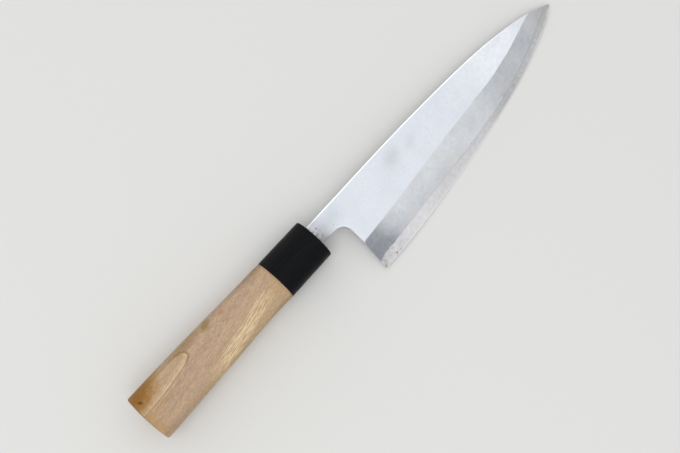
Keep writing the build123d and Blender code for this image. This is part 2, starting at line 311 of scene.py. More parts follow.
# Wood of the grip. A range runs from where a finish starts to where it is full, on a place in mm or on a
# noise, and may go on with its strength at both. A band has its start, full, fade and end.
woodLook = {
    "tan": shown(192, 164, 135),
    "rosy": shown(181, 153, 129),
    "honey": shown(192, 164, 128),
    "cream": shown(234, 208, 166),
    "ring": shown(132, 100, 62),
    "fibre": shown(150, 121, 92),
    "stain": shown(140, 93, 12),
    "amber": shown(180, 132, 52),
    "olive": shown(138, 112, 46),
    "red": shown(172, 118, 84),
    "knot": shown(90, 46, 6),
    # Dirt, and painted shade on the grip's sides
    "dirtAndShade": shown(106, 86, 60),
    "endGrain": shown(154, 125, 92),
    "roughness": 0.58,
    "fibreGloss": 0.3,
    "mirrored": 0.3,
    "bumpDepth": 0.05,
    "grainTurn": math.radians(10.9),
    "grainBend": 5.0,
    "bendNoise": (0.02, 2.0),
    # Noises of the grain: name, stretch, detail and roughness
    "grains": (
        ("Tone", (0.012, 0.24, 0.24), 4.0, 0.6),
        ("Fibre", (0.1, 1.9, 1.9), 3.0, 0.6),
        ("Flecks", (0.42, 2.6, 2.6), 2.0, 0.65),
    ),
    "tanTones": (0.36, 0.64),
    "darkFibres": (0.6, 0.3, 0.0, 0.24),
    "darkFlecks": (0.54, 0.28, 0.0, 0.42),
    "lightFlecks": (0.5, 0.72, 0.0, 0.4),
    "honeySide": (11.0, 3.0, 0.0, 0.8),
    "honeySway": 16.0,
    "streakAcrossBand": (1.0, 3.6, 7.4, 10.2),
    "streakAlongBand": (-94.0, -72.0, -48.0, -32.0),
    "streakFibres": (0.44, 0.58, 0.2, 1.0),
    # Painted shade, darker towards both sides of the oval
    "shadedSides": (9.0, 13.0, 0.0, 0.2),
    "amberJoint": (-38.0, -29.4, 0.0, 0.1),
    # The wood darkens towards the joint with the collar
    "darkerByJoint": (-31.0, -29.6, 0.0, 0.25),
    "wear": {"width": 0.9, "patchy": 0.6},
    "wornSide": (5.0, 0.0, 0.08, 0.45),
    # The arch of a growth ring: its tip, how fast it opens and how its middle runs, in mm
    "arch": {"tipX": -87.1, "topZ": 8.5, "sink": 0.4, "halfWidth": 5.3, "start": 0.8, "room": 10.8,
             "middleY": 8.6, "slant": -0.09, "bend": 0.0009, "tipRound": 1.8, "jitter": 0.7,
             "faintSide": (0.0, 3.0), "faintBehind": (4.0, 15.0), "fainterBy": 0.75,
             "creamBand": (0.1, 0.7, 1.2, 3.8), "creamAmount": 0.34,
             "lineDepth": 0.9, "line": (0.6, 0.1, 0.0, 0.3)},
    # Its rings: distance outside it, strength, and how far behind its tip each starts
    "rings": ((0.0, 0.4, -2.0), (1.7, 0.34, 14.0), (3.1, 0.26, 18.0), (7.4, 0.18, 6.0)),
    "ringWidth": 0.6,
    "ringCore": 0.05,
    "ringStart": 2.0,
    "ringTip": (9.0, 2.0),
    "ringTipGain": 0.35,
    # End grain of the butt
    "butt": {"pith": (0.0, 6.0, 24.0), "sway": 1.5, "swayScale": 0.15, "ringNoise": (0.9, 3.0),
             "rings": (0.38, 0.62, 0.0, 0.6), "facing": (0.8, 0.97)},
    # Stain, patches, knot, a little dirt, and painted shade on both sides by the joint: centre, reach, turn,
    # raggedness, softness, colour, strength
    "spots": (
        ((-119.0, 0.0, 6.0), (20.0, 2.2, 14.0), 0.0, 0.5, 0.9, "amber", 0.42),
        ((-127.0, -5.0, 6.0), (13.0, 13.0, 20.0), 0.0, 0.6, 0.9, "amber", 0.6),
        ((-117.5, 11.0, 4.0), (24.0, 11.0, 20.0), 0.3, 0.5, 0.9, "amber", 0.85),
        ((-119.5, 10.6, 4.0), (20.0, 10.4, 20.0), 0.3, 0.5, 0.85, "stain", 1.0),
        ((-126.0, 9.0, 4.0), (4.5, 7.0, 12.0), 0.0, 0.4, 0.7, "dirtAndShade", 0.4),
        ((-86.0, 11.5, 4.0), (19.0, 4.5, 20.0), 0.1, 0.6, 0.9, "olive", 0.5),
        ((-71.2, 10.0, 4.0), (5.4, 3.7, 10.0), 0.6, 0.7, 0.8, "olive", 0.8),
        ((-60.5, 9.4, 6.0), (3.0, 1.7, 5.0), 0.2, 0.4, 0.9, "red", 0.8),
        # The next two are painted shade on both sides of the grip by the joint, in the dirt colour
        ((-34.0, 14.5, 0.0), (22.0, 7.5, 20.0), 0.0, 0.5, 0.9, "dirtAndShade", 0.8),
        ((-34.0, -15.0, 0.0), (19.0, 7.0, 20.0), 0.0, 0.5, 0.9, "dirtAndShade", 0.75),
        ((-120.5, 8.4, 8.0), (2.1, 1.2, 6.0), -0.75, 0.35, 0.7, "knot", 0.95),
    ),
    "spotFibres": (0.3, 0.65),
    "spotLeast": 0.72,      # share of a spot's strength that it keeps between the fibres
}


def makeWoodGrain():
    inputs = [("Place", "Vector"), ("Turn", "Float")]
    outputs = [("Tone", "Float"), ("Fibre", "Float"), ("Flecks", "Float"), ("Level", "Vector")]
    tree, given, result = newGroup("woodGrain", inputs, outputs)
    level = turned(tree, given["Place"], calc(tree, "MULTIPLY", given["Turn"], -1.0))
    bend = swayed(tree, 0.0, noiseOf(tree, level, *woodLook["bendNoise"]), woodLook["grainBend"])
    level = vectorCalc(tree, "ADD", level, joined(tree, 0.0, bend))
    for name, stretch, detail, roughness in woodLook["grains"]:
        spots = noiseOf(tree, vectorCalc(tree, "MULTIPLY", level, stretch), 1.0, detail, roughness)
        tree.links.new(spots, result[name])
    tree.links.new(level, result["Level"])
    return tree


woodGrain = makeWoodGrain()


# How deep inside the arch of a growth ring a place lies, how far behind the arch's tip, both in mm,
# and how faint the arch is there. It opens from its tip to the butt.
def archDepth(tree, place, fibre):
    arch = woodLook["arch"]
    x, y, z = partsOf(tree, place)
    sunk = calc(tree, "MULTIPLY", calc(tree, "SUBTRACT", arch["topZ"], z), arch["sink"])
    past = calc(tree, "SUBTRACT", calc(tree, "SUBTRACT", arch["tipX"], x), sunk)
    run = calc(tree, "MAXIMUM", past, 0.0)
    opening = calc(tree, "DIVIDE", calc(tree, "ADD", run, arch["start"]),
                   calc(tree, "ADD", run, arch["room"]))
    middle = scaled(tree, run, arch["bend"], arch["slant"])
    middle = scaled(tree, middle, run, arch["middleY"])
    lean = calc(tree, "SUBTRACT", y, middle)
    depth = scaled(tree, calc(tree, "SQRT", opening), arch["halfWidth"],
                   calc(tree, "MULTIPLY", calc(tree, "ABSOLUTE", lean), -1.0))
    depth = calc(tree, "SMOOTH_MIN", depth, past, arch["tipRound"])
    # its limb on the spine's side is the fainter one
    faint = product(tree, spread(tree, lean, *arch["faintSide"]), spread(tree, run, *arch["faintBehind"]))
    return swayed(tree, depth, fibre, arch["jitter"]), run, faint


def makeWood():
    look, arch, butt = woodLook, woodLook["arch"], woodLook["butt"]
    material, tree, shader, place = newMaterial("gripWood", Roughness=look["roughness"],
                                                Specular_IOR_Level=look["mirrored"])
    grain = useGroup(tree, woodGrain, {"Place": place, "Turn": look["grainTurn"]})
    fibre, flecks = grain["Fibre"], grain["Flecks"]
    x, y, z = partsOf(tree, place)
    ranged = rangesOf(tree, look)

    # Tan, rosier on the spine's side and yellower on the edge's side
    colour = blend(tree, ranged(grain["Tone"], "tanTones"), look["rosy"], look["tan"])
    side = swayed(tree, partsOf(tree, grain["Level"])[1], grain["Tone"], look["honeySway"])

    # Bright streaks of sapwood, slanting over the middle
    level = partsOf(tree, turned(tree, place, -look["grainTurn"]))[1]
    streaks = product(tree, between(tree, level, *look["streakAcrossBand"]),
                      between(tree, x, *look["streakAlongBand"]), ranged(fibre, "streakFibres"))

    # Arch of a growth ring near the butt, cream inside, with fainter rings outside it
    depth, run, faint = archDepth(tree, place, fibre)
    clear = scaled(tree, faint, -arch["fainterBy"], 1.0)
    inner = product(tree, between(tree, depth, *arch["creamBand"]), arch["creamAmount"])
    brightLine = calc(tree, "ABSOLUTE", calc(tree, "SUBTRACT", depth, arch["lineDepth"]))
    brightLine = product(tree, spread(tree, brightLine, *arch["line"]), clear)
    colour = layered(tree, colour, look, (ranged(side, "honeySide"), "honey"), (streaks, "cream"),
                     (inner, "cream"), (brightLine, "cream"))
    atTip = ranged(run, "ringTip")
    for gap, amount, start in look["rings"]:
        ring = calc(tree, "ABSOLUTE", calc(tree, "ADD", depth, gap))
        width = scaled(tree, atTip, look["ringTipGain"], look["ringWidth"])
        ring = product(tree, spread(tree, ring, width, look["ringCore"]),
                       spread(tree, run, start, start + look["ringStart"]), clear,
                       scaled(tree, atTip, look["ringTipGain"], amount))
        colour = blend(tree, ring, colour, look["ring"])

    # End grain of the butt, with the rings of the same tree
    fromPith = vectorCalc(tree, "SUBTRACT", joined(tree, 0.0, y, z), butt["pith"])
    fromPith = scaled(tree, noiseOf(tree, place, butt["swayScale"]), butt["sway"],
                      vectorCalc(tree, "LENGTH", fromPith))
    ringTone = noiseOf(tree, joined(tree, fromPith), *butt["ringNoise"])
    endColour = blend(tree, spread(tree, ringTone, *butt["rings"]), look["endGrain"], look["fibre"])
    colour = blend(tree, spread(tree, facingOf(tree, -knifeX), *butt["facing"]), colour, endColour)

    # Fibres and short flecks over everything, then the spots, the painted shade of the sides, and the joint
    dark = calc(tree, "ADD", ranged(fibre, "darkFibres"), ranged(flecks, "darkFlecks"))
    colour = layered(tree, colour, look, (dark, "fibre"), (ranged(flecks, "lightFlecks"), "cream"))
    for centre, reach, turn, ragged, softness, tone, amount in look["spots"]:
        mask = spotMask(tree, place, centre, reach, turn, ragged, softness)
        uneven = spread(tree, fibre, *look["spotFibres"], amount * look["spotLeast"], amount)
        colour = blend(tree, product(tree, mask, uneven), colour, look[tone])
    # Rims are rubbed bare, most on the edge's side
    worn = product(tree, wearAndHighlightEdge(tree, place, **look["wear"]), ranged(y, "wornSide"))
    # Painted shade on both sides, then amber and darker wood by the joint, and the rubbed rims
    colour = layered(tree, colour, look, (ranged(calc(tree, "ABSOLUTE", y), "shadedSides"), "dirtAndShade"),
                     (ranged(x, "amberJoint"), "amber"), (ranged(x, "darkerByJoint"), "dirtAndShade"),
                     (worn, "cream"))

    tree.links.new(colour, shader.inputs["Base Color"])
    tree.links.new(swayed(tree, look["roughness"], fibre, -look["fibreGloss"]), shader.inputs["Roughness"])
    bumpFrom(tree, shader, calc(tree, "ADD", fibre, flecks), look["bumpDepth"])
    return material


# Black plastic of the collar
collarLook = {
    "black": shown(8, 9, 13),
    "worn": shown(62, 64, 70),
    "roughness": 0.4,
    "mirrored": 0.09,
    "bumpDepth": 0.03,
    "clouds": (0.16, 4.0),
    "scratches": {"turn": 0.0, "length": 12.0, "width": 0.25, "amount": 0.8},
    "wear": {"width": 0.7, "patchy": 0.7},
    # How much scratches, wear and clouds change the colour, the roughness and the height
    "scratchPale": 0.1,
    "wearPale": 0.6,
    "scratchRough": 0.15,
    "cloudRough": 0.35,
    "scratchDepth": 0.3,
    "cloudHeight": 0.8,
}


def makeCollar():
    look = collarLook
    material, tree, shader, place = newMaterial("collarBlack", Specular_IOR_Level=look["mirrored"])
    scratches = hairOf(tree, place, **look["scratches"])["Scratches"]
    clouds = noiseOf(tree, place, *look["clouds"])
    wear = product(tree, wearAndHighlightEdge(tree, place, **look["wear"]), look["wearPale"])
    colour = layered(tree, look["black"], look, (product(tree, scratches, look["scratchPale"]), "worn"),
                     (wear, "worn"))
    tree.links.new(colour, shader.inputs["Base Color"])
    roughness = swayed(tree, look["roughness"], clouds, look["cloudRough"])
    roughness = scaled(tree, scratches, look["scratchRough"], roughness)
    tree.links.new(roughness, shader.inputs["Roughness"])
    relief = scaled(tree, scratches, -look["scratchDepth"], product(tree, clouds, look["cloudHeight"]))
    bumpFrom(tree, shader, relief, look["bumpDepth"])
    return material


# Dark resin round the neck
sealLook = {
    "resin": shown(58, 48, 40),
    "dust": shown(92, 82, 70),
    "roughness": 0.5,
    "bumpDepth": 0.08,
    "grit": (1.6, 4.0),
    "dusty": (0.45, 0.7),
}


def makeSeal():
    look = sealLook
    material, tree, shader, place = newMaterial("sealResin", Roughness=look["roughness"])
    grit = noiseOf(tree, place, *look["grit"])
    colour = blend(tree, spread(tree, grit, *look["dusty"]), look["resin"], look["dust"])
    tree.links.new(colour, shader.inputs["Base Color"])
    bumpFrom(tree, shader, grit, look["bumpDepth"])
    return material


# Blade: polished flat side, misty ground bevel, bright strip of hard steel along the edge. Ranges and
# bands are as in the wood. Those named Along are on shares of the way from heel to tip, and those named
# Place on mm from the collar's mouth.
bladeLook = {
    "flat": shown(224, 229, 238),
    "flatBright": shown(242, 245, 252),
    "mistDark": shown(141, 144, 150),
    "mistLight": shown(219, 222, 227),
    "stripDark": shown(150, 150, 150),
    "stripLight": shown(224, 223, 226),
    "mistWarm": shown(206, 205, 203),
    "edgeLine": shown(232, 232, 234),
    "weldLine": shown(160, 156, 156),
    "back": shown(206, 209, 214),
    "backRim": shown(220, 222, 226),
    # Painted highlight of the spine's chamfer and of the rims near the heel
    "chamferHighlight": shown(246, 248, 252),
    # Side faces of spine, choil and edge, painted lighter as a highlight
    "side": shown(206, 210, 216),
    "smudge": shown(203, 209, 214),
    "cloud": shown(186, 193, 197),
    "patina": shown(121, 120, 118),
    # Painted shadow of the collar across the neck
    "collarShadow": shown(92, 90, 88),
    "brown": shown(156, 150, 142),
    "rust": shown(146, 132, 112),
    "pit": shown(70, 68, 68),
    "flatRoughness": 0.27,
    "mistRoughness": 0.42,
    "cloudRough": 0.15,
    "neckRough": 0.12,
    "bumpDepth": 0.004,
    # Fine lines of the flat side and of the bevel, and noises by scale, detail and roughness
    "hair": {"turn": 0.02, "length": 18.0, "width": 0.3, "amount": 0.5},
    "strokes": {"turn": 1.25, "length": 7.0, "width": 0.22, "amount": 0.6},
    "grit": (2.6, 3.0, 0.7),
    "clouds": (0.06, 4.0, 0.6),
    "mottle": (0.45, 4.0, 0.65),
    # Which way the surface faces: 1 is out of the bevelled side and -1 out of the back
    "facingUp": (0.8, 0.9),
    "facingDown": (-0.9, -0.97),
    "chamferBand": (0.5, 0.6, 0.85, 0.9),
    # The ridge: its wander, and where it is worn soft, in shares of the way to the tip
    "ridgeNoise": (0.1, 3.0),
    "ridgeSway": 1.1,
    "softRidgeBand": (0.05, 0.15, 0.3, 0.5),
    "ridgeWidth": 0.3,
    "ridgeWidening": 0.7,
    # Flat side
    "flatClouds": (0.4, 0.75, 0.0, 0.35),
    "flatHair": (0.3, 0.7, 0.0, 0.16),
    "flatMottle": (0.4, 0.7, 0.0, 0.25),
    "flatScratches": 0.3,
    # Misty bevel
    "mistRise": (0.35, 0.85),
    "mistClouds": 0.5,
    "mistStrokes": 0.16,
    "mistGritAlong": (0.16, 0.06, 0.16, 0.5),
    "warmShift": (40.0, 0.0, 0.0),
    "warmNoise": (0.09, 3.0),
    "warmPatches": (0.45, 0.7, 0.0, 0.45),
    "warmAlong": (0.05, 0.16),
    # Strip of steel, with the worn line of the edge
    "stripMottleAlong": (0.5, 0.72, 0.7, 1.0),
    "heelMottleAlong": (0.14, 0.04, 0.0, 0.6),
    "stripStrokes": 0.25,
    "edgeReach": (1.1, 0.2, 0.0, 0.55),
    "edgeSway": 1.8,
    # The weld, by height over it, and the mottled tip
    "weldNoise": (0.24, 4.0, 0.6),
    "weldWave": 0.42,
    "weldRunOut": (20.0, 15.0, 0.0, 0.3),
    "weldBlend": (-0.11, 0.06),
    "weldBorderBand": (-0.12, 0.03, 0.05, 0.22),
    "weldBorderAlong": (0.1, 0.7, 0.15, 0.55),
    "weldBorderMottle": (0.4, 0.6, 0.2, 1.0),
    "tipPlace": (160.0, 172.0),
    "tipMottle": (0.38, 0.6),
    "tipAmount": 0.3,
    # Back, by height over its rim, then the rims near the heel with their painted highlight, the neck, and
    # the collar's painted shadow on it
    "backRimHeight": (0.012, 0.002),
    "backHair": (0.3, 0.7, 0.0, 0.3),
    "backClouds": (0.45, 0.75, 0.0, 0.3),
    # Width and patchiness of the painted highlight on the rims near the heel
    "wear": {"width": 0.8, "patchy": 0.3},
    "rimHighlightPlace": (34.0, 26.0),
    "neckPlace": (13.0, 1.0),
    "neckMottle": (0.3, 0.6, 0.65, 1.0),
    "neckSide": (5.0, -2.0, 0.5, 0.9),
    "collarShadowPlace": (1.4, -0.2, 0.0, 0.85),
    "collarShadowSway": 6.0,
    # How the lines and the grit stand in the surface's height
    "hairHeight": 0.2,
    "gritHeight": 0.3,
    "gritHeightFlat": 0.05,
    # Smudges of the flat side: centre, reach, turn and strength
    "smudges": (
        ((58.0, -0.8, 2.0), (10.0, 6.5, 6.0), 0.3, 0.5),
        ((71.0, -2.4, 2.0), (8.0, 4.5, 6.0), 0.3, 0.26),
        ((13.0, 1.0, 2.0), (13.0, 9.0, 6.0), 0.2, 0.5),
    ),
    "smudgeSoft": {"ragged": 0.7, "softness": 1.0},
    # Pits and stains: centre, reach, colour and strength
    "marks": (
        ((3.9, 2.7, 2.8), (0.6, 0.45, 1.0), "pit", 0.8),
        ((2.6, 0.4, 2.8), (0.5, 0.5, 1.0), "pit", 0.45),
        ((11.3, -2.6, 2.8), (0.5, 0.4, 1.0), "pit", 0.4),
        ((24.2, -36.7, -2.3), (0.6, 0.45, 1.0), "pit", 0.8),
        ((27.0, -37.0, -2.4), (0.5, 0.35, 1.0), "pit", 0.6),
        ((15.4, -37.2, -2.4), (1.0, 0.8, 1.0), "rust", 0.8),
        ((16.4, -34.2, -1.8), (0.9, 1.6, 1.0), "brown", 0.5),
        ((124.5, -22.7, -2.0), (1.5, 0.22, 1.0), "pit", 0.4),
    ),
    "markSoft": {"turn": 0.4, "ragged": 0.9, "softness": 0.6},
    # Brightness at shares of the way from heel to tip: of the bevel below its ridge, of the bevel
    # above the steel, of the steel's strip, and of the flat side
    "ridgeShades": ((0.0, 0.0), (0.034, 0.05), (0.12, 0.72), (0.2, 0.88), (0.35, 0.93), (0.46, 0.85),
                    (0.55, 0.82), (0.63, 0.69), (0.72, 0.56), (0.8, 0.51), (0.88, 0.58), (1.0, 0.4)),
    "weldShades": ((0.0, 0.0), (0.034, 0.0), (0.12, 0.48), (0.2, 0.69), (0.3, 0.69), (0.46, 0.82),
                   (0.63, 0.72), (0.72, 0.52), (0.88, 0.53), (1.0, 0.4)),
    "stripShades": ((0.0, 0.4), (0.034, 0.6), (0.12, 0.8), (0.2, 0.89), (0.29, 0.76), (0.46, 0.69),
                    (0.55, 0.64), (0.63, 0.44), (0.72, 0.4), (0.8, 0.48), (0.88, 0.48), (1.0, 0.42)),
    "flatShades": ((0.0, 0.1), (0.3, 0.12), (0.52, 0.15), (0.62, 0.4), (0.72, 0.85),
                   (0.8, 1.0), (0.88, 0.2), (1.0, 0.2)),
}
steelLow, steelHigh = knifeCorners("edge_steel").min(0), knifeCorners("edge_steel").max(0)
heelX, tipX, backZ = float(steelLow[0]), float(steelHigh[0]), float(steelLow[2])


# Lines along the blade, read from the solids' sections: y of the cutting edge and of the bevel's ridge,
# and z of the weld, each with its share of the way from heel to tip
def bladeLines(count=20, firstShare=0.01, lastShare=0.995, lastRidge=0.87, edgeWidth=0.02):
    rows = []
    for share in np.linspace(firstShare, lastShare, count):
        x = heelX + (tipX - heelX) * share
        steel = sectionOf("edge_steel", x)
        points = np.vstack([sectionOf("blade_iron", x), steel])
        corner = points[points[:, 1].argmax()]
        low = points[points[:, 0] < points[:, 0].min() + edgeWidth]
        edge = low[low[:, 1].argmax()]
        chord = corner - edge
        ridge = points[((points - edge) @ (-chord[1], chord[0])).argmax()][0]
        if share > lastRidge:     # past the place where the ridge has met the spine
            ridge = 2 * rows[-1][2] - rows[-2][2]
        rows.append((share, edge[0], ridge, steel[:, 1].max()))
    rows = np.array(rows)
    return {"edge": rows[:, 1], "ridge": rows[:, 2], "weld": rows[:, 3]}, rows[:, 0]


bladeLine, lineShares = bladeLines()
print("blade lines read, ridge from", bladeLine["ridge"][0].round(2), "to", bladeLine["ridge"][-1].round(2))


# The height of such a line over the place along the blade
def lineOf(tree, along, name):
    levels = bladeLine[name]
    low, room = float(levels.min()), float(np.ptp(levels))
    curve = addNode(tree, "ShaderNodeFloatCurve", {"Value": along})
    setCurve(curve, [(share, (level - low) / room) for share, level in zip(lineShares, levels)])
    return scaled(tree, curve.outputs[0], room, low)


def shadeOf(tree, along, name):
    curve = addNode(tree, "ShaderNodeFloatCurve", {"Value": along})
    setCurve(curve, bladeLook[name])
    return curve.outputs[0]


def makeBladeFinish():
    look = bladeLook
    outputs = [("Colour", "Color"), ("Roughness", "Float"), ("Height", "Float")]
    tree, given, result = newGroup("bladeFinish", [("Place", "Vector")], outputs)
    place = given["Place"]
    x, y, z = partsOf(tree, place)
    facing = facingOf(tree, knifeZ)
    ranged = rangesOf(tree, look)
    along = calc(tree, "DIVIDE", calc(tree, "SUBTRACT", x, heelX), tipX - heelX)
    along = calc(tree, "MINIMUM", calc(tree, "MAXIMUM", along, 0.0), 1.0)
    edgeY, ridgeY = lineOf(tree, along, "edge"), lineOf(tree, along, "ridge")
    fromEdge = calc(tree, "SUBTRACT", y, edgeY)
    grit, clouds, mottle = [noiseOf(tree, place, *look[name]) for name in ("grit", "clouds", "mottle")]

    # The ridge is worn soft and wanders a little
    wander = noiseOf(tree, joined(tree, x), *look["ridgeNoise"])
    overRidge = swayed(tree, calc(tree, "SUBTRACT", y, ridgeY), wander, -look["ridgeSway"])
    soft = between(tree, along, *look["softRidgeBand"])
    soft = scaled(tree, soft, look["ridgeWidening"], look["ridgeWidth"])
    flatMask = spread(tree, calc(tree, "DIVIDE", overRidge, soft), -1.0, 1.0)
    upMask, backMask = ranged(facing, "facingUp"), ranged(facing, "facingDown")

    # Flat side: fine lines along the blade, faint clouds and smudges
    hair = hairOf(tree, place, **look["hair"])
    flatTone = blend(tree, shadeOf(tree, along, "flatShades"), look["flat"], look["flatBright"])
    flatTone = layered(tree, flatTone, look, (ranged(clouds, "flatClouds"), "smudge"),
                       (ranged(hair["Lines"], "flatHair"), "smudge"),
                       (ranged(mottle, "flatMottle"), "smudge"),
                       (product(tree, hair["Scratches"], look["flatScratches"]), "mistLight"))
    for centre, reach, turn, amount in look["smudges"]:
        mask = spotMask(tree, place, centre, reach, turn, **look["smudgeSoft"])
        flatTone = blend(tree, product(tree, mask, amount), flatTone, look["cloud"])

    # Bevel: misty iron, dark at the heel and duller to the tip, in tones that are partly its finish and
    # partly a painted reflection
    strokes = hairOf(tree, place, **look["strokes"])["Lines"]
    upShare = calc(tree, "DIVIDE", fromEdge, calc(tree, "SUBTRACT", ridgeY, edgeY))
    low, high = shadeOf(tree, along, "weldShades"), shadeOf(tree, along, "ridgeShades")
    shade = scaled(tree, calc(tree, "SUBTRACT", high, low), ranged(upShare, "mistRise"), low)
    cloudy = swayed(tree, calc(tree, "SUBTRACT", clouds, 0.5), mottle, 1.0)
    shade = scaled(tree, cloudy, look["mistClouds"], shade)
    shade = swayed(tree, shade, strokes, look["mistStrokes"])
    shade = swayed(tree, shade, grit, ranged(along, "mistGritAlong"))
    mistTone = blend(tree, shade, look["mistDark"], look["mistLight"])
    patches = noiseOf(tree, vectorCalc(tree, "ADD", place, look["warmShift"]), *look["warmNoise"])
    patches = product(tree, ranged(patches, "warmPatches"), ranged(along, "warmAlong"))
    mistTone = blend(tree, patches, mistTone, look["mistWarm"])

    # Strip of steel, dirtier to the tip, and brightest on the worn line of the edge itself
    contrast = calc(tree, "ADD", ranged(along, "stripMottleAlong"), ranged(along, "heelMottleAlong"))
    stripShade = swayed(tree, shadeOf(tree, along, "stripShades"), mottle, contrast)
    stripShade = swayed(tree, stripShade, strokes, look["stripStrokes"])
    stripTone = blend(tree, stripShade, look["stripDark"], look["stripLight"])
    edgeLine = ranged(swayed(tree, fromEdge, mottle, look["edgeSway"]), "edgeReach")
    stripTone = blend(tree, edgeLine, stripTone, look["edgeLine"])

    # The weld shows as a wavy border between the two, and runs out at the heel
    wave = noiseOf(tree, joined(tree, x), *look["weldNoise"])
    level = swayed(tree, lineOf(tree, along, "weld"), wave, look["weldWave"])
    level = calc(tree, "SUBTRACT", level, ranged(x, "weldRunOut"))
    overWeld = calc(tree, "SUBTRACT", z, level)
    bevelTone = blend(tree, ranged(overWeld, "weldBlend"), stripTone, mistTone)
    border = product(tree, between(tree, overWeld, *look["weldBorderBand"]),
                     ranged(along, "weldBorderAlong"), ranged(mottle, "weldBorderMottle"))

    # The very tip is browner and mottled
    tipMask = product(tree, ranged(x, "tipPlace"), ranged(mottle, "tipMottle"), look["tipAmount"])
    bevelTone = layered(tree, bevelTone, look, (border, "weldLine"), (tipMask, "brown"))

    # Faces that do not face up take the side tone, painted lighter as a highlight on the choil and spine
    colour = blend(tree, upMask, look["side"], bevelTone)
    colour = blend(tree, product(tree, flatMask, upMask), colour, flatTone)
    rim = ranged(calc(tree, "SUBTRACT", z, backZ), "backRimHeight")
    backTone = layered(tree, look["back"], look, (ranged(hair["Lines"], "backHair"), "mistDark"),
                       (rim, "backRim"), (ranged(clouds, "backClouds"), "smudge"))
    colour = blend(tree, backMask, colour, backTone)

    # Painted highlights on the spine's chamfer and on the flat side's rims near the heel, patina on the
    # neck, the collar's painted shadow, and pits and stains
    chamferHighlight = between(tree, facing, *look["chamferBand"])
    # Painted highlight along the flat side's rims near the heel and the choil
    rimHighlight = product(tree, wearAndHighlightEdge(tree, place, **look["wear"]), flatMask, ranged(x, "rimHighlightPlace"))
    neck = product(tree, ranged(x, "neckPlace"), ranged(mottle, "neckMottle"), ranged(y, "neckSide"))
    # Painted shadow where the collar meets the neck, with a ragged edge
    collarShadow = ranged(swayed(tree, x, mottle, -look["collarShadowSway"]), "collarShadowPlace")
    colour = layered(tree, colour, look, (chamferHighlight, "chamferHighlight"), (rimHighlight, "chamferHighlight"), (neck, "patina"),
                     (collarShadow, "collarShadow"))
    for centre, reach, tone, amount in look["marks"]:
        mask = spotMask(tree, place, centre, reach, **look["markSoft"])
        colour = blend(tree, product(tree, mask, amount), colour, look[tone])

    tree.links.new(colour, result["Colour"])
    roughness = scaled(tree, flatMask, look["flatRoughness"] - look["mistRoughness"], look["mistRoughness"])
    roughness = scaled(tree, cloudy, look["cloudRough"], roughness)
    tree.links.new(scaled(tree, neck, look["neckRough"], roughness), result["Roughness"])
    lines = product(tree, strokes, calc(tree, "SUBTRACT", 1.0, flatMask))
    lines = scaled(tree, hair["Lines"], product(tree, flatMask, look["hairHeight"]), lines)
    gritHeight = scaled(tree, flatMask, look["gritHeightFlat"] - look["gritHeight"], look["gritHeight"])
    tree.links.new(calc(tree, "ADD", product(tree, grit, gritHeight), lines), result["Height"])
    return tree


bladeFinish = makeBladeFinish()


def makeBladeMetal(name):
    material, tree, shader, place = newMaterial(name, Metallic=1.0)
    finish = useGroup(tree, bladeFinish, {"Place": place})
    tree.links.new(finish["Colour"], shader.inputs["Base Color"])
    tree.links.new(finish["Roughness"], shader.inputs["Roughness"])
    bumpFrom(tree, shader, finish["Height"], bladeLook["bumpDepth"])
    return material


ironMetal = makeBladeMetal("softIron")
steelMetal = makeBladeMetal("hardSteel")
gripFinish = makeWood()
collarFinish = makeCollar()
sealFinish = makeSeal()
print("finishes made")


# A straight plug along x from its start to its end, as a curve swept with an outline
def addPlug(tree, outline, start, end, middle=0.0, endScale=1.0):
    line = addNode(tree, "GeometryNodeCurvePrimitiveLine", {
        "Start": joined(tree, start, middle), "End": joined(tree, end, middle)})
    share = tree.nodes.new("GeometryNodeSplineParameter").outputs["Factor"]
    scale = scaled(tree, share, calc(tree, "SUBTRACT", endScale, 1.0), 1.0)
    return addNode(tree, "GeometryNodeCurveToMesh", {
        "Curve": line.outputs[0], "Profile Curve": outline, "Scale": scale, "Fill Caps": True}).outputs[0]


def cutOrJoin(tree, operation, body, plug):
    if operation == "DIFFERENCE":
        new = addNode(tree, "GeometryNodeMeshBoolean", {"Mesh 1": body, "Mesh 2": plug}, operation=operation)
    else:
        new = addNode(tree, "GeometryNodeMeshBoolean", {"Mesh 2": body}, operation=operation)
        tree.links.new(plug, new.inputs["Mesh 2"])
    return new.outputs["Mesh"]


# Smooth faces, with crisp edges where the surface turns by more than the limit
def smoothed(tree, geometry, limit):
    angle = tree.nodes.new("GeometryNodeInputMeshEdgeAngle").outputs["Unsigned Angle"]
    smooth = addNode(tree, "GeometryNodeSetShadeSmooth", {"Geometry": geometry, "Shade Smooth": True})
    crisp = addNode(tree, "GeometryNodeSetShadeSmooth", {
        "Geometry": smooth.outputs[0], "Selection": calc(tree, "GREATER_THAN", angle, limit),
        "Shade Smooth": False}, domain="EDGE")
    return crisp.outputs[0]


ovalBody = {
    "crispTurn": 0.5,       # from here on, in radians, an edge between two faces is crisp
    "cornerSteps": 6,
    "dipScale": (0.03, 0.11, 0.11),
    "dipDetail": 1.0,
}


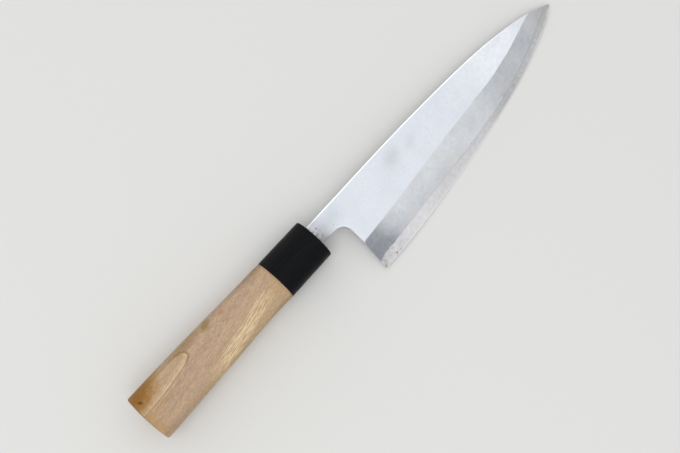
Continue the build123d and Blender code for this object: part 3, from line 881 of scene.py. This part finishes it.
# Oval body along x, as Geometry Nodes: a capped tube whose rings follow measured half sizes. An oval plug
# is joined to it or bored out of it, and a slot is cut: tenon and mortise, or bore and slot.
def makeOvalBody(name, profile, plugKind):
    inputs = [("Sides", "Int", 96), ("Rings", "Int", 96), ("Cap Rings", "Int", 10)]
    inputs += [(label, "Float") for label in (
        "Start", "End", "Half Height", "Half Thickness", "Bow", "Start Dome", "Start Rounding",
        "End Rounding", "Unevenness", "Seed", "Plug Start", "Plug End", "Plug Height", "Plug Thickness",
        "Slot Start", "Slot End", "Slot Height", "Slot Thickness", "Slot Middle", "Slot Corner")]
    inputs += [("Slot End Scale", "Float", 1.0), ("Material", "Material")]
    tree, given, result = newGroup(name, inputs, [("Geometry", "Geometry")], "GeometryNodeTree")
    tube = addNode(tree, "GeometryNodeMeshCylinder", {
        "Vertices": given["Sides"], "Side Segments": given["Rings"], "Fill Segments": given["Cap Rings"],
        "Radius": 1.0, "Depth": 1.0}, fill_type="TRIANGLE_FAN")
    across, up, level = partsOf(tree, tree.nodes.new("GeometryNodeInputPosition").outputs[0])

    # Rings stand close together near both ends
    even = calc(tree, "ADD", level, 0.5)
    wave = calc(tree, "COSINE", calc(tree, "MULTIPLY", even, math.pi))
    share = scaled(tree, wave, -0.5, 0.5)
    shareLeft = calc(tree, "SUBTRACT", 1.0, share)
    length = calc(tree, "SUBTRACT", given["End"], given["Start"])
    sizes = []
    for column in (1, 2, 3):
        curve = addNode(tree, "ShaderNodeFloatCurve", {"Value": share})
        setCurve(curve, [(place[0], place[column]) for place in profile])
        sizes.append(curve.outputs[0])
    inset = []
    for fromEnd, rounding in ((share, "Start Rounding"), (shareLeft, "End Rounding")):
        radius = given[rounding]
        left = calc(tree, "SUBTRACT", radius, product(tree, fromEnd, length))
        left = calc(tree, "MAXIMUM", left, 0.0)
        rise = calc(tree, "SUBTRACT", product(tree, radius, radius), product(tree, left, left))
        rise = calc(tree, "SQRT", calc(tree, "MAXIMUM", rise, 0.0))
        inset.append(calc(tree, "SUBTRACT", radius, rise))
    inset = calc(tree, "ADD", *inset)
    halfHeight = calc(tree, "SUBTRACT", product(tree, sizes[0], given["Half Height"]), inset)
    halfThickness = calc(tree, "SUBTRACT", product(tree, sizes[1], given["Half Thickness"]), inset)

    radius = calc(tree, "ADD", product(tree, across, across), product(tree, up, up))
    radius = calc(tree, "SQRT", radius)
    dome = product(tree, given["Start Dome"], product(tree, radius, radius), shareLeft)
    x = calc(tree, "ADD", scaled(tree, share, length, given["Start"]), dome)
    y = scaled(tree, up, halfHeight, product(tree, sizes[2], given["Bow"]))
    z = product(tree, across, halfThickness, -1.0)
    place = joined(tree, x, y, z)

    # A worked surface is never quite true, so it dips inwards by a little
    spot = vectorCalc(tree, "MULTIPLY", place, ovalBody["dipScale"])
    spot = vectorCalc(tree, "ADD", spot, joined(tree, given["Seed"]))
    dip = product(tree, noiseOf(tree, spot, 1.0, ovalBody["dipDetail"]), given["Unevenness"])
    dip = calc(tree, "SUBTRACT", 1.0, calc(tree, "DIVIDE", dip, given["Half Height"]))
    dip = calc(tree, "MAXIMUM", dip, 0.0)
    place = vectorCalc(tree, "MULTIPLY", place, joined(tree, 1.0, dip, dip))
    moved = addNode(tree, "GeometryNodeSetPosition", {"Geometry": tube.outputs["Mesh"], "Position": place})

    ring = addNode(tree, "GeometryNodeCurvePrimitiveCircle", {"Resolution": given["Sides"], "Radius": 0.5})
    ovalSize = joined(tree, given["Plug Height"], given["Plug Thickness"], 1.0)
    oval = addNode(tree, "GeometryNodeTransform", {"Geometry": ring.outputs[0], "Scale": ovalSize})
    plug = addPlug(tree, oval.outputs[0], given["Plug Start"], given["Plug End"])
    body = cutOrJoin(tree, plugKind, moved.outputs[0], plug)
    box = addNode(tree, "GeometryNodeCurvePrimitiveQuadrilateral", {
        "Width": given["Slot Height"], "Height": given["Slot Thickness"]})
    corners = addNode(tree, "GeometryNodeFilletCurve", {
        "Curve": box.outputs[0], "Count": ovalBody["cornerSteps"], "Radius": given["Slot Corner"],
    }, mode="POLY")
    slot = addPlug(tree, corners.outputs[0], given["Slot Start"], given["Slot End"], given["Slot Middle"],
                   given["Slot End Scale"])
    body = cutOrJoin(tree, "DIFFERENCE", body, slot)
    finishBody(tree, smoothed(tree, body, ovalBody["crispTurn"]), given, result)
    return tree


def finishBody(tree, geometry, given, result):
    real = addNode(tree, "GeometryNodeRealizeInstances", {"Geometry": geometry})
    painted = addNode(tree, "GeometryNodeSetMaterial", {
        "Geometry": real.outputs[0], "Material": given["Material"]})
    tree.links.new(painted.outputs[0], result["Geometry"])


# The modifier's result as a plain mesh in the row frame
def bakeNodes(name, tree, values, source=None):
    helper = bpy.data.objects.new(name + "Helper", source or bpy.data.meshes.new(name + "Helper"))
    bpy.context.scene.collection.objects.link(helper)
    modifier = helper.modifiers.new("shape", "NODES")
    modifier.node_group = tree
    for socket in tree.interface.items_tree:
        if socket.item_type == "SOCKET" and socket.in_out == "INPUT" and socket.name in values:
            modifier[socket.identifier] = values[socket.name]
    helper.update_tag()
    bpy.context.view_layer.update()
    graph = bpy.context.evaluated_depsgraph_get()
    mesh = bpy.data.meshes.new_from_object(helper.evaluated_get(graph))
    bpy.data.objects.remove(helper)
    mesh.transform(knifeToRow)
    mesh.name = name
    piece = bpy.data.objects.new(name, mesh)
    bpy.context.scene.collection.objects.link(piece)
    print(name, "has", len(mesh.polygons), "faces")
    return piece


# Half height, half thickness and middle of an oval CAD node at a few shares of its length
def ovalProfile(name, startX, endX, margin, count=9, leastBow=0.01):
    shares = np.linspace(margin, 1 - margin, count)
    rows = []
    for share in shares:
        section = sectionOf(name, startX + (endX - startX) * share)
        size = (section.max(0) - section.min(0)) / 2
        rows.append((share, size[0], size[1], (section[:, 0].max() + section[:, 0].min()) / 2))
    rows = np.array(rows)
    top = rows.max(0)
    bow = max(top[3], leastBow)
    profile = [(share, height / top[1], thickness / top[2], max(middle, 0.0) / bow)
               for share, height, thickness, middle in rows]
    return profile, float(top[1]), float(top[2]), float(bow)


# Height, thickness and middle of the opening in a CAD node's section
def openingOf(name, x, innerShare=0.8):
    section = sectionOf(name, x)
    inner = section[((section / abs(section).max(0)) ** 2).sum(1) < innerShare]
    low, high = inner.min(0), inner.max(0)
    return float(high[0] - low[0]), float(high[1] - low[1]), float((high[0] + low[0]) / 2)


# Inputs of the oval bodies' nodes, and how far from the ends (as a share) their sizes are read
gripWood = {"Sides": 128, "Rings": 120, "Cap Rings": 14, "Start Dome": 0.8, "Start Rounding": 1.1,
            "End Rounding": 0.25, "Unevenness": 0.12, "Seed": 3.0, "Slot Corner": 0.1, "endMargin": 0.03}
collarCup = {"Sides": 128, "Rings": 48, "Cap Rings": 10, "Start Dome": 0.0, "Start Rounding": 0.25,
             "End Rounding": 0.6, "Unevenness": 0.03, "Seed": 8.0, "Slot Corner": 0.6, "Slot End Scale": 1.0,
             "Bow": 0.0, "endMargin": 0.06}
over = 1.0      # overrun of cuts and joins, in mm
buttX = float(knifeCorners("handle_wood")[:, 0].min())
tenonX = float(knifeCorners("handle_wood")[:, 0].max())
jointX = float(knifeCorners("collar")[:, 0].min())
wallX = float(knifeCorners("neck_seal")[:, 0].min())


def makeGrip():
    profile, height, thickness, bow = ovalProfile("handle_wood", buttX, jointX, gripWood["endMargin"])
    tree = makeOvalBody("ovalGrip", profile, "UNION")
    tenonHalf = abs(sectionOf("handle_wood", (jointX + tenonX) / 2)).max(0)
    nearX, farX = jointX - over, (jointX + buttX) / 2
    near, far = openingOf("handle_wood", nearX), openingOf("handle_wood", farX)
    fall = (far[1] / near[1] - 1) / (farX - nearX)      # the mortise narrows evenly
    slotStart, slotEnd = tenonX + over, float(knifeCorners("blade_iron")[:, 0].min()) - over
    startScale = 1 + fall * (slotStart - nearX)
    return bakeNodes("gripWood", tree, {
        **gripWood, "Start": buttX, "End": jointX, "Half Height": height, "Half Thickness": thickness,
        "Bow": bow, "Plug Start": nearX, "Plug End": tenonX,
        "Plug Height": float(2 * tenonHalf[0]), "Plug Thickness": float(2 * tenonHalf[1]),
        "Slot Start": slotStart, "Slot End": slotEnd, "Slot Height": near[0] * startScale,
        "Slot Thickness": near[1] * startScale, "Slot Middle": near[2],
        "Slot End Scale": (1 + fall * (slotEnd - nearX)) / startScale, "Material": gripFinish})


def makeCollarCup():
    profile, height, thickness, _ = ovalProfile("collar", jointX, 0.0, collarCup["endMargin"])
    tree = makeOvalBody("ovalCollar", profile, "DIFFERENCE")
    bore, slot = openingOf("collar", (jointX + wallX) / 2), openingOf("collar", wallX / 2)
    return bakeNodes("collarCup", tree, {
        **collarCup, "Start": jointX, "End": 0.0, "Half Height": height, "Half Thickness": thickness,
        "Plug Start": jointX - over, "Plug End": wallX, "Plug Height": bore[0], "Plug Thickness": bore[1],
        "Slot Start": wallX - over, "Slot End": over, "Slot Height": slot[0], "Slot Thickness": slot[1],
        "Slot Middle": slot[2], "Material": collarFinish})


# Worn edge: small chips bitten out of the steel, most of them where the edge curves up to the tip
edgeChips = {
    "bites": ({"count": 20, "from": 0.03, "to": 0.97, "bite": 0.15, "length": 0.55, "seed": 4},
              {"count": 16, "from": 0.64, "to": 0.87, "bite": 0.45, "length": 0.9, "seed": 11},
              {"count": 1, "from": 0.055, "to": 0.062, "bite": 0.45, "length": 0.7, "seed": 2}),
    "biteRadius": 0.6,
    "depths": (0.3, 1.0),         # of a row's bite and length, by chance
    "lengths": (0.6, 1.5),
    "ballSteps": 3,
    "slopeStep": 0.01,            # as a share of the edge
    "weldedWithin": 0.0005,       # merges the loose triangles of the CAD mesh
    "slimmestSide": 0.002,        # shorter sides left by the cut are merged away
    "faceTurn": math.radians(1.5),
}


def makeChipRow():
    inputs = [("Count", "Int"), ("From", "Float"), ("To", "Float"), ("Bite", "Float"), ("Length", "Float"),
              ("Seed", "Int"), ("Radius", "Float")]
    tree, given, result = newGroup("chipRow", inputs, [("Geometry", "Geometry")], "GeometryNodeTree")

    def randomly(low, high, salt):
        seed = calc(tree, "ADD", given["Seed"], float(salt))
        values = {2: low, 3: high, 8: seed}
        return addNode(tree, "FunctionNodeRandomValue", values, data_type="FLOAT").outputs[1]

    share = randomly(given["From"], given["To"], 0)
    y = lineOf(tree, share, "edge")
    step = edgeChips["slopeStep"]
    rise = calc(tree, "SUBTRACT", lineOf(tree, calc(tree, "ADD", share, step), "edge"), y)
    angle = calc(tree, "ARCTANGENT", calc(tree, "DIVIDE", rise, step * (tipX - heelX)))
    bite = product(tree, randomly(*edgeChips["depths"], 1), given["Bite"])
    outwards = turned(tree, joined(tree, 0.0, calc(tree, "SUBTRACT", bite, given["Radius"])), angle)
    place = joined(tree, scaled(tree, share, tipX - heelX, heelX), y, backZ)
    points = addNode(tree, "GeometryNodePoints", {
        "Count": given["Count"], "Position": vectorCalc(tree, "ADD", place, outwards)})
    ball = addNode(tree, "GeometryNodeMeshIcoSphere", {
        "Radius": 1.0, "Subdivisions": edgeChips["ballSteps"]})
    length = product(tree, randomly(*edgeChips["lengths"], 2), given["Length"])
    chips = addNode(tree, "GeometryNodeInstanceOnPoints", {
        "Points": points.outputs[0], "Instance": ball.outputs[0],
        "Rotation": addNode(tree, "FunctionNodeAxisAngleToRotation", {"Angle": angle}).outputs[0],
        "Scale": joined(tree, length, given["Radius"], 1.0)})
    real = addNode(tree, "GeometryNodeRealizeInstances", {"Geometry": chips.outputs[0]})
    tree.links.new(real.outputs[0], result["Geometry"])
    return tree


def makeEdgeSteel():
    inputs = [("Geometry", "Geometry"), ("Face Turn", "Float"), ("Material", "Material")]
    tree, given, result = newGroup("chippedEdge", inputs, [("Geometry", "Geometry")], "GeometryNodeTree")
    whole = addNode(tree, "GeometryNodeMergeByDistance", {
        "Geometry": given["Geometry"], "Distance": edgeChips["weldedWithin"]})
    chipRow = makeChipRow()
    chips = tree.nodes.new("GeometryNodeJoinGeometry")
    for bites in edgeChips["bites"]:
        row = addNode(tree, "GeometryNodeGroup", node_tree=chipRow)
        for key, value in bites.items():
            row.inputs[key.capitalize()].default_value = value
        row.inputs["Radius"].default_value = edgeChips["biteRadius"]
        tree.links.new(row.outputs[0], chips.inputs[0])
    # Chips may overlap, so they are cut out in one go that allows for it
    body = addNode(tree, "GeometryNodeMeshBoolean", {
        "Mesh 1": whole.outputs[0], "Mesh 2": chips.outputs[0], "Self Intersection": True,
    }, operation="DIFFERENCE", solver="EXACT").outputs["Mesh"]
    clean = addNode(tree, "GeometryNodeMergeByDistance", {
        "Geometry": body, "Distance": edgeChips["slimmestSide"]})
    finishBody(tree, smoothed(tree, clean.outputs[0], given["Face Turn"]), given, result)
    mesh = bpy.data.meshes.new("steelCopy")
    faces = [tuple(polygon.vertices) for polygon in cadNodes["edge_steel"].data.polygons]
    mesh.from_pydata(knifeCorners("edge_steel").tolist(), [], faces)
    return bakeNodes("edgeSteel", tree, {"Face Turn": edgeChips["faceTurn"], "Material": steelMetal}, mesh)


for piece, node, slot in (
    (makeGrip(), "handle_wood", "wood"),
    (makeCollarCup(), "collar", "collar"),
    (makeEdgeSteel(), "edge_steel", "steel"),
):
    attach(piece, "root")
    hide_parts(node)

for name, material in (("blade_iron", ironMetal), ("neck_seal", sealFinish)):
    cadNodes[name].data.materials.clear()
    cadNodes[name].data.materials.append(material)
print("pieces made")

# Pale floor and soft studio light
studio = {
    "floor": shown(228, 228, 226),
    "floorHalf": 2.0,
    "floorRoughness": 0.9,
    "skyLight": 0.76,
    "skyHigh": 1.0,       # what metal and the camera see of the backdrop, overhead and level
    "skyLow": 0.7,
    "skyRise": (-0.1, 0.9),
    "lampPower": 5.0,
    "lampSize": 1.3,
    "lampPlace": (-0.6, -0.25, 1.25),
    "fillPower": 1.6,
    "fillSize": 0.9,
    "fillPlace": (0.35, 1.2, 0.35),
}


def makeFloor():
    half = studio["floorHalf"]
    mesh = bpy.data.meshes.new("floor")
    corners = [(-half, -half, 0), (half, -half, 0), (half, half, 0), (-half, half, 0)]
    mesh.from_pydata(corners, [], [(0, 1, 2, 3)])
    floor = bpy.data.objects.new("floor", mesh)
    bpy.context.scene.collection.objects.link(floor)
    material = bpy.data.materials.new("floorPaper")
    material.use_nodes = True
    shader = material.node_tree.nodes["Principled BSDF"]
    shader.inputs["Base Color"].default_value = studio["floor"]
    shader.inputs["Roughness"].default_value = studio["floorRoughness"]
    mesh.materials.append(material)


def makeSky():
    world = bpy.data.worlds.new("studio")
    bpy.context.scene.world = world
    world.use_nodes = True
    tree = world.node_tree
    height = partsOf(tree, tree.nodes.new("ShaderNodeTexCoord").outputs["Generated"])[2]
    backdrop = spread(tree, height, *studio["skyRise"], studio["skyLow"], studio["skyHigh"])
    ray = tree.nodes.new("ShaderNodeLightPath").outputs
    seen = calc(tree, "MAXIMUM", ray["Is Glossy Ray"], ray["Is Transmission Ray"])
    seen = calc(tree, "MAXIMUM", ray["Is Camera Ray"], seen)
    strength = scaled(tree, calc(tree, "SUBTRACT", backdrop, studio["skyLight"]), seen, studio["skyLight"])
    sky = tree.nodes["Background"]
    sky.inputs["Color"].default_value = (1.0, 1.0, 1.0, 1.0)
    tree.links.new(strength, sky.inputs["Strength"])


# A lamp that looks at the knife's middle, which is the origin
def makeLamp(name, place, size, power):
    lamp = bpy.data.lights.new(name, "AREA")
    lamp.shape = "DISK"
    lamp.size = size
    lamp.energy = power
    holder = bpy.data.objects.new(name, lamp)
    holder.location = place
    holder.rotation_euler = (-Vector(place)).to_track_quat("-Z", "Y").to_euler()
    bpy.context.scene.collection.objects.link(holder)


makeFloor()
makeSky()
makeLamp("softLamp", studio["lampPlace"], studio["lampSize"], studio["lampPower"])
makeLamp("sideLamp", studio["fillPlace"], studio["fillSize"], studio["fillPower"])

# Camera, placed round a point on the knife's axis plane
view = {
    "target": (13.53, -5.67, 0.0),      # in the knife's frame
    "distance": 754.9,
    "tilt": math.radians(10.18),        # from upright
    "heading": math.radians(221.9),
    "lens": 77.76,
    "filmWidth": 36.0,
    "nearest": 0.01,
}


def makeCamera():
    target = knifeToRow @ Vector(view["target"])
    flat = math.sin(view["tilt"])
    away = Vector((flat * math.cos(view["heading"]), flat * math.sin(view["heading"]),
                   math.cos(view["tilt"])))
    camera = bpy.data.objects.new("camera", bpy.data.cameras.new("camera"))
    camera.data.lens = view["lens"]
    camera.data.sensor_width = view["filmWidth"]
    camera.data.clip_start = view["nearest"]
    camera.location = target + away * view["distance"] * mm
    camera.rotation_euler = (-away).to_track_quat("-Z", "Y").to_euler()
    bpy.context.scene.collection.objects.link(camera)
    bpy.context.scene.camera = camera


makeCamera()
bpy.context.scene.view_settings.view_transform = "Standard"
print("stage, lamps and camera set")
